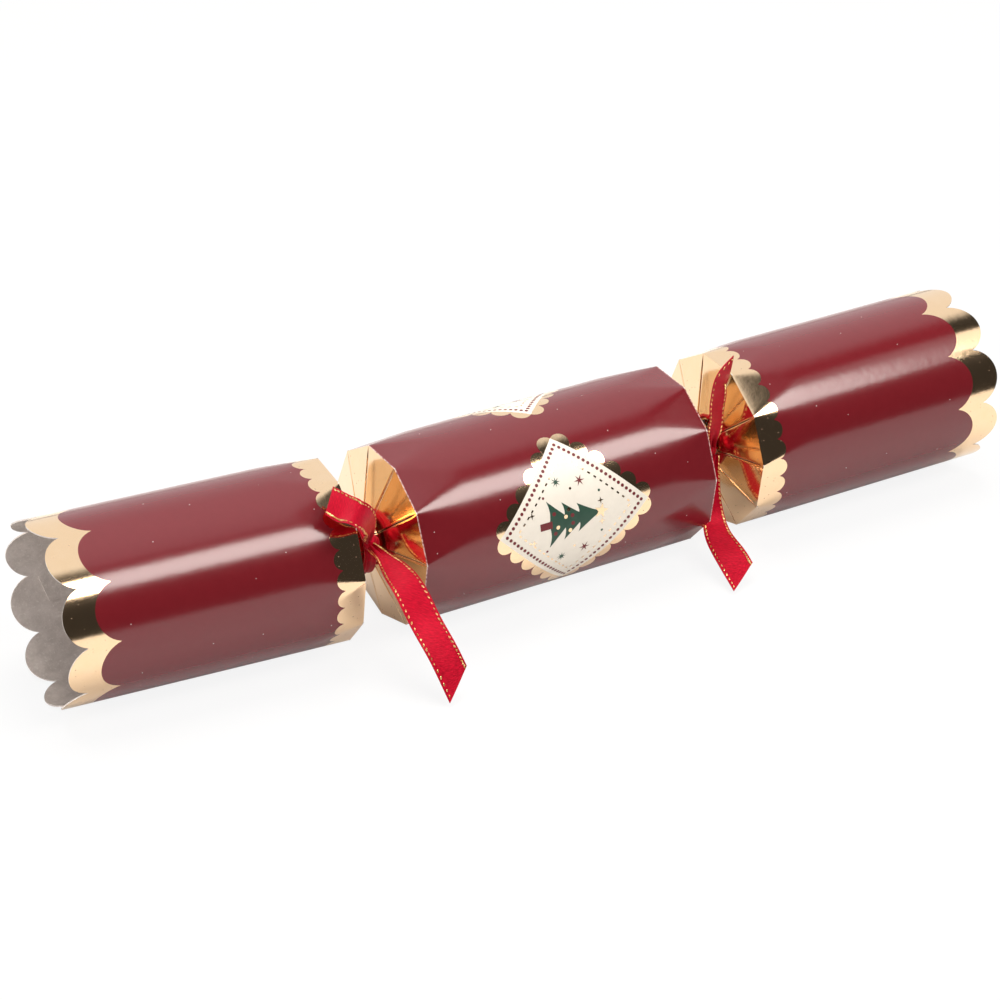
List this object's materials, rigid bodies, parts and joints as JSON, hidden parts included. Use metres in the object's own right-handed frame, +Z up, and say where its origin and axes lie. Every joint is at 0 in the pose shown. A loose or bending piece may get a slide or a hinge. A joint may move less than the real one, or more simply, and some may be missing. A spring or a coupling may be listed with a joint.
{
  "type": "christmas cracker",
  "caption": "Card tube table cracker with pleated gold necks tied with ribbon, scalloped open ends that pull off, and a snap, hat, motto and gift inside.",
  "frame": {"origin": "on the floor under the middle of the barrel, where the tube rests", "axes": "+X along the barrel towards the right end, +Z up, -Y towards the viewer"},
  "size_m": [0.307, 0.0884, 0.0615],
  "materials": {
    "burgundy_card": "gloss printed outside, bare grey inside",
    "gold_foil_card": "mirror gold foil outside, bare grey inside",
    "crimson_ribbon": "satin with gold thread edges",
    "snap_card": "matt",
    "snap_compound": "matt",
    "snap_paper": "matt",
    "tissue": "matt tissue",
    "motto_paper": "matt",
    "turned_wood": "satin"
  },
  "bodies": {
    "barrel": {"barrel_wall": "burgundy_card", "barrel_left_neck": "gold_foil_card", "barrel_right_neck": "gold_foil_card", "left_ribbon_loop": "crimson_ribbon", "left_ribbon_long_tail": "crimson_ribbon", "left_ribbon_short_tail": "crimson_ribbon", "right_ribbon_loop": "crimson_ribbon", "right_ribbon_long_tail": "crimson_ribbon", "right_ribbon_short_tail": "crimson_ribbon"},
    "left_snap": {"left_snap_strip": "snap_card", "left_snap_grit": "snap_compound"},
    "left_end": {"left_tube": "burgundy_card", "left_tube_neck": "gold_foil_card", "left_snap_tail": "snap_card"},
    "right_snap": {"right_snap_strip": "snap_card", "right_snap_charge": "snap_compound", "snap_sleeve": "snap_paper"},
    "right_end": {"right_tube": "burgundy_card", "right_tube_neck": "gold_foil_card", "right_snap_tail": "snap_card"},
    "hat": {"paper_crown": "tissue", "motto_slip": "motto_paper"},
    "gift": {"top_body": "turned_wood", "top_stem": "turned_wood"}
  },
  "joints": [
    {"name": "left_pull", "type": "slide", "parent": "barrel", "child": "left_snap", "axis": [-1, 0, 0], "range_m": [0, 0.075]},
    {"name": "left_swing", "type": "hinge", "parent": "left_snap", "child": "left_end", "pos_m": [-0.057, 0, 0.02675], "axis": [0, 0, 1], "range_deg": [-3, 4.3]},
    {"name": "right_pull", "type": "slide", "parent": "barrel", "child": "right_snap", "axis": [1, 0, 0], "range_m": [0, 0.075]},
    {"name": "right_swing", "type": "hinge", "parent": "right_snap", "child": "right_end", "pos_m": [0.057, 0, 0.02675], "axis": [0, 0, 1], "range_deg": [-7, 7]},
    {"name": "hat_slide", "type": "slide", "parent": "barrel", "child": "hat", "axis": [1, 0, 0], "range_m": [-0.004, 0.003]},
    {"name": "gift_slide", "type": "slide", "parent": "barrel", "child": "gift", "axis": [1, 0, 0], "range_m": [-0.003, 0.004]}
  ]
}
